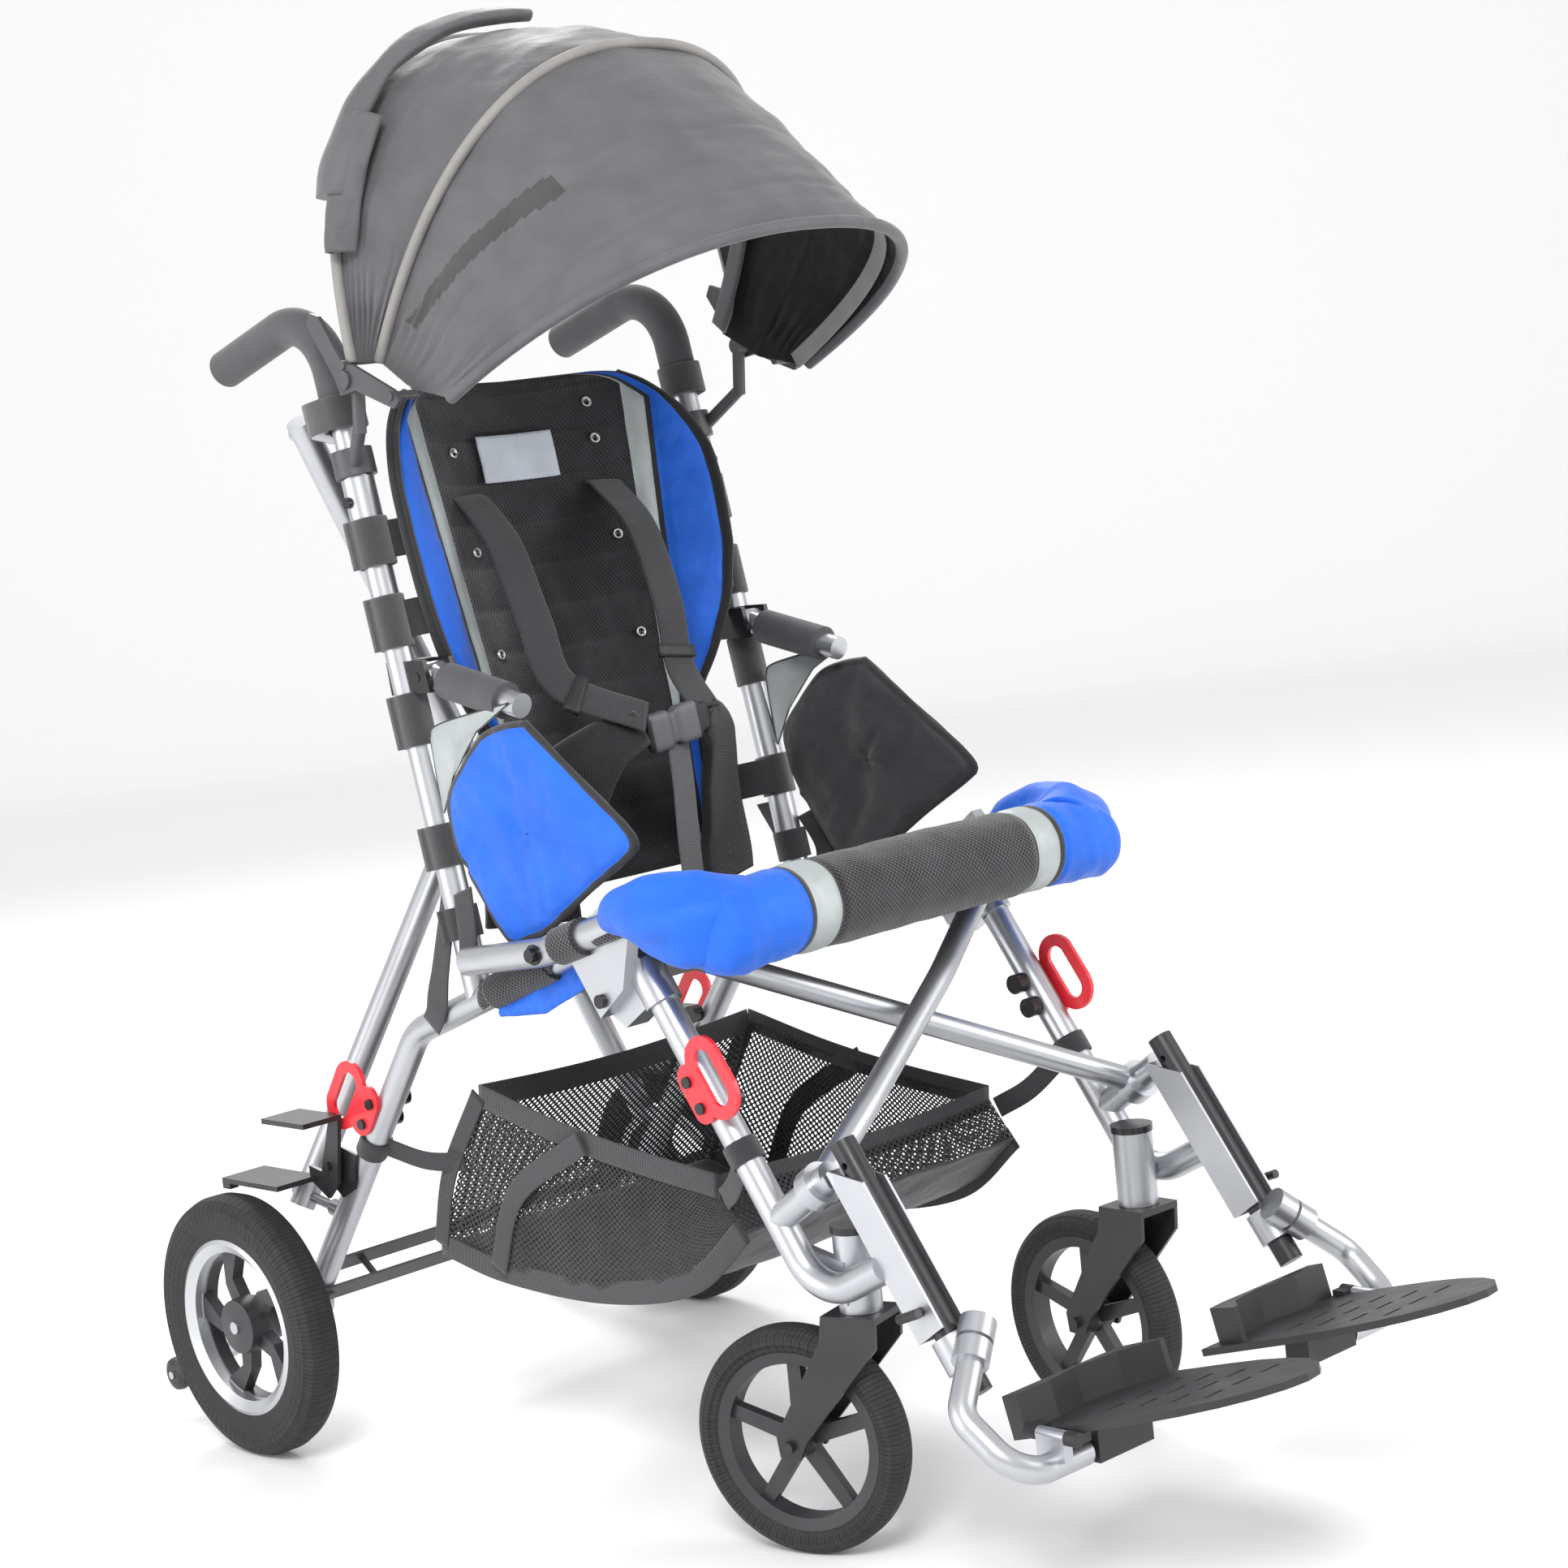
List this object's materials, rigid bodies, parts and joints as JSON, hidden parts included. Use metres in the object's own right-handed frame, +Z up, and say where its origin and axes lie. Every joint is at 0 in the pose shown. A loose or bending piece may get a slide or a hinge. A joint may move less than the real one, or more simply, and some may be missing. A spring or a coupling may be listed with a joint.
{
  "type": "special needs buggy",
  "caption": "Folding tilted-seat special needs buggy with cross-braced side frames, casters, footplates, harness, basket and canopy.",
  "frame": {"origin": "on the floor, midway between the side frames, at the middle of the overall length", "axes": "+X to the occupant's left, +Y to the rear, +Z up"},
  "size_m": [0.602, 1.3532, 1.3054],
  "materials": {
    "silver_tube": "satin silver-grey powder coat",
    "black_tube": "satin black",
    "dark_bar": "satin dark grey",
    "foam": "closed-cell foam",
    "dark_plastic": "moulded",
    "tyre_rubber": "ribbed",
    "hook_red": "gloss red",
    "pad_fabric": "woven nylon",
    "mesh_fabric": "spacer mesh",
    "webbing": "woven webbing",
    "canopy_fabric": "coated nylon",
    "bow_wire": "grey sleeve"
  },
  "bodies": {
    "right_frame": {"right_side_tube": "silver_tube", "right_seat_rail": "silver_tube", "right_front_leg": "silver_tube", "right_leg_bracket": "silver_tube", "right_back_post": "silver_tube", "right_handle_grip": "foam", "right_frame_hardware": "black_tube", "right_tie_down_hooks": "hook_red", "right_canopy_clamp": "dark_plastic", "right_side_pad": "pad_fabric", "seat_sling": "mesh_fabric", "seat_roll": "mesh_fabric", "back_pad": "mesh_fabric", "harness": "webbing", "basket": "mesh_fabric"},
    "right_rear_wheel": {"right_rear_wheel": "dark_plastic", "right_rear_tyre": "tyre_rubber"},
    "right_caster_fork": {"right_caster_fork": "black_tube"},
    "right_caster_wheel": {"right_caster_wheel": "dark_plastic", "right_caster_tyre": "tyre_rubber"},
    "right_anti_tip_roller": {"right_anti_tip_roller": "tyre_rubber"},
    "right_brake_lever": {"right_brake_lever": "black_tube"},
    "right_armrest": {"right_armrest_bar": "silver_tube", "right_armrest_foam": "foam"},
    "right_foot_hanger": {"right_hanger_tube": "black_tube", "right_foot_tube": "silver_tube"},
    "right_footplate": {"right_footplate": "dark_plastic"},
    "right_front_brace": {"right_front_brace": "silver_tube"},
    "right_rear_brace": {"right_rear_brace": "silver_tube"},
    "right_crossbar": {"right_crossbar": "dark_bar"},
    "left_frame": {"left_side_tube": "silver_tube", "left_seat_rail": "silver_tube", "left_front_leg": "silver_tube", "left_leg_bracket": "silver_tube", "left_back_post": "silver_tube", "left_handle_grip": "foam", "left_frame_hardware": "black_tube", "left_tie_down_hooks": "hook_red", "left_canopy_clamp": "dark_plastic", "left_side_pad": "pad_fabric"},
    "left_rear_wheel": {"left_rear_wheel": "dark_plastic", "left_rear_tyre": "tyre_rubber"},
    "left_caster_fork": {"left_caster_fork": "black_tube"},
    "left_caster_wheel": {"left_caster_wheel": "dark_plastic", "left_caster_tyre": "tyre_rubber"},
    "left_anti_tip_roller": {"left_anti_tip_roller": "tyre_rubber"},
    "left_brake_lever": {"left_brake_lever": "black_tube"},
    "left_armrest": {"left_armrest_bar": "silver_tube", "left_armrest_foam": "foam"},
    "left_foot_hanger": {"left_hanger_tube": "black_tube", "left_foot_tube": "silver_tube"},
    "left_footplate": {"left_footplate": "dark_plastic"},
    "left_front_brace": {"left_front_brace": "silver_tube"},
    "left_rear_brace": {"left_rear_brace": "silver_tube"},
    "left_crossbar": {"left_crossbar": "dark_bar"},
    "canopy": {"canopy_cover": "canopy_fabric", "canopy_bows": "bow_wire", "right_canopy_arms": "dark_bar"},
    "left_canopy_arms": {"left_canopy_arms": "dark_bar"}
  },
  "joints": [
    {"name": "frame_fold", "type": "slide", "parent": "right_frame", "child": "left_frame", "axis": [-1, 0, 0], "range_m": [0, 0.16], "deforming": ["seat_sling", "seat_roll", "back_pad", "harness", "basket", "canopy_cover", "canopy_bows", "right_side_pad", "left_side_pad"]},
    {"name": "right_rear_wheel_spin", "type": "hinge", "parent": "right_frame", "child": "right_rear_wheel", "pos_m": [-0.281, 0.468, 0.127], "axis": [1, 0, 0], "continuous": true},
    {"name": "right_caster_swivel", "type": "hinge", "parent": "right_frame", "child": "right_caster_fork", "pos_m": [-0.175, -0.273, 0.24], "axis": [0, 0, 1], "continuous": true},
    {"name": "right_caster_spin", "type": "hinge", "parent": "right_caster_fork", "child": "right_caster_wheel", "pos_m": [-0.19409, -0.20773, 0.097], "axis": [0.9598, 0.2807, 0], "continuous": true},
    {"name": "right_anti_tip_spin", "type": "hinge", "parent": "right_frame", "child": "right_anti_tip_roller", "pos_m": [-0.249, 0.6596, 0.04], "axis": [1, 0, 0], "continuous": true},
    {"name": "right_brake", "type": "hinge", "parent": "right_frame", "child": "right_brake_lever", "pos_m": [-0.227, 0.377, 0.278], "axis": [1, 0, 0], "range_deg": [0, 18]},
    {"name": "right_armrest_lift", "type": "hinge", "parent": "right_frame", "child": "right_armrest", "pos_m": [-0.194, 0.17165, 0.739], "axis": [-1, 0, 0], "range_deg": [0, 85]},
    {"name": "right_foot_height", "type": "slide", "parent": "right_frame", "child": "right_foot_hanger", "axis": [0, -0.5505, -0.8348], "range_m": [0, 0.045]},
    {"name": "right_footplate_flip", "type": "hinge", "parent": "right_foot_hanger", "child": "right_footplate", "pos_m": [-0.201, -0.495, 0.148], "axis": [0, -1, 0], "range_deg": [0, 70]},
    {"name": "right_front_brace_swing", "type": "hinge", "parent": "right_frame", "child": "right_front_brace", "pos_m": [-0.205, -0.26952, 0.31938], "axis": [0, -0.8387, 0.5446], "range_deg": [0, 30]},
    {"name": "right_rear_brace_swing", "type": "hinge", "parent": "right_frame", "child": "right_rear_brace", "pos_m": [-0.205, 0.45658, 0.23673], "axis": [0, -0.9845, -0.1754], "range_deg": [0, 15]},
    {"name": "right_crossbar_fold", "type": "hinge", "parent": "right_frame", "child": "right_crossbar", "pos_m": [-0.205, 0.45065, 0.14898], "axis": [0, -0.7849, -0.6196], "range_deg": [0, 56]},
    {"name": "left_rear_wheel_spin", "type": "hinge", "parent": "left_frame", "child": "left_rear_wheel", "pos_m": [0.281, 0.468, 0.127], "axis": [1, 0, 0], "continuous": true},
    {"name": "left_caster_swivel", "type": "hinge", "parent": "left_frame", "child": "left_caster_fork", "pos_m": [0.175, -0.273, 0.24], "axis": [0, 0, 1], "continuous": true},
    {"name": "left_caster_spin", "type": "hinge", "parent": "left_caster_fork", "child": "left_caster_wheel", "pos_m": [0.17773, -0.20505, 0.097], "axis": [0.9992, -0.0401, 0], "continuous": true},
    {"name": "left_anti_tip_spin", "type": "hinge", "parent": "left_frame", "child": "left_anti_tip_roller", "pos_m": [0.249, 0.6596, 0.04], "axis": [1, 0, 0], "continuous": true},
    {"name": "left_brake", "type": "hinge", "parent": "left_frame", "child": "left_brake_lever", "pos_m": [0.227, 0.377, 0.278], "axis": [1, 0, 0], "range_deg": [0, 18]},
    {"name": "left_armrest_lift", "type": "hinge", "parent": "left_frame", "child": "left_armrest", "pos_m": [0.194, 0.17165, 0.739], "axis": [-1, 0, 0], "range_deg": [0, 85]},
    {"name": "left_foot_height", "type": "slide", "parent": "left_frame", "child": "left_foot_hanger", "axis": [0, -0.5505, -0.8348], "range_m": [0, 0.045]},
    {"name": "left_footplate_flip", "type": "hinge", "parent": "left_foot_hanger", "child": "left_footplate", "pos_m": [0.201, -0.495, 0.148], "axis": [0, 1, 0], "range_deg": [0, 70]},
    {"name": "left_front_brace_swing", "type": "hinge", "parent": "left_frame", "child": "left_front_brace", "pos_m": [0.205, -0.25778, 0.31175], "axis": [0, 0.8387, -0.5446], "range_deg": [0, 30]},
    {"name": "left_rear_brace_swing", "type": "hinge", "parent": "left_frame", "child": "left_rear_brace", "pos_m": [0.205, 0.43, 0.232], "axis": [0, 0.9845, 0.1754], "range_deg": [0, 15]},
    {"name": "left_crossbar_fold", "type": "hinge", "parent": "left_frame", "child": "left_crossbar", "pos_m": [0.205, 0.45065, 0.14898], "axis": [0, 0.7849, 0.6196], "range_deg": [0, 56]},
    {"name": "canopy_tilt", "type": "hinge", "parent": "right_frame", "child": "canopy", "pos_m": [-0.238, 0.18, 1.005], "axis": [1, 0, 0], "range_deg": [-10, 20]},
    {"name": "left_canopy_tilt", "type": "hinge", "parent": "left_frame", "child": "left_canopy_arms", "pos_m": [0.238, 0.18, 1.005], "axis": [1, 0, 0], "range_deg": [-10, 20]}
  ],
  "couplings": [
    {"joint": "right_footplate_flip", "follows": "frame_fold", "rad_per_m": 7.4177},
    {"joint": "right_front_brace_swing", "follows": "frame_fold", "rad_per_m": 3.1},
    {"joint": "right_rear_brace_swing", "follows": "frame_fold", "rad_per_m": 1.0642},
    {"joint": "right_crossbar_fold", "follows": "frame_fold", "rad_per_m": 5.719},
    {"joint": "left_footplate_flip", "follows": "frame_fold", "rad_per_m": 7.4177},
    {"joint": "left_front_brace_swing", "follows": "frame_fold", "rad_per_m": 3.1},
    {"joint": "left_rear_brace_swing", "follows": "frame_fold", "rad_per_m": 1.0642},
    {"joint": "left_crossbar_fold", "follows": "frame_fold", "rad_per_m": 5.719},
    {"joint": "left_canopy_tilt", "follows": "canopy_tilt", "ratio": 1}
  ]
}
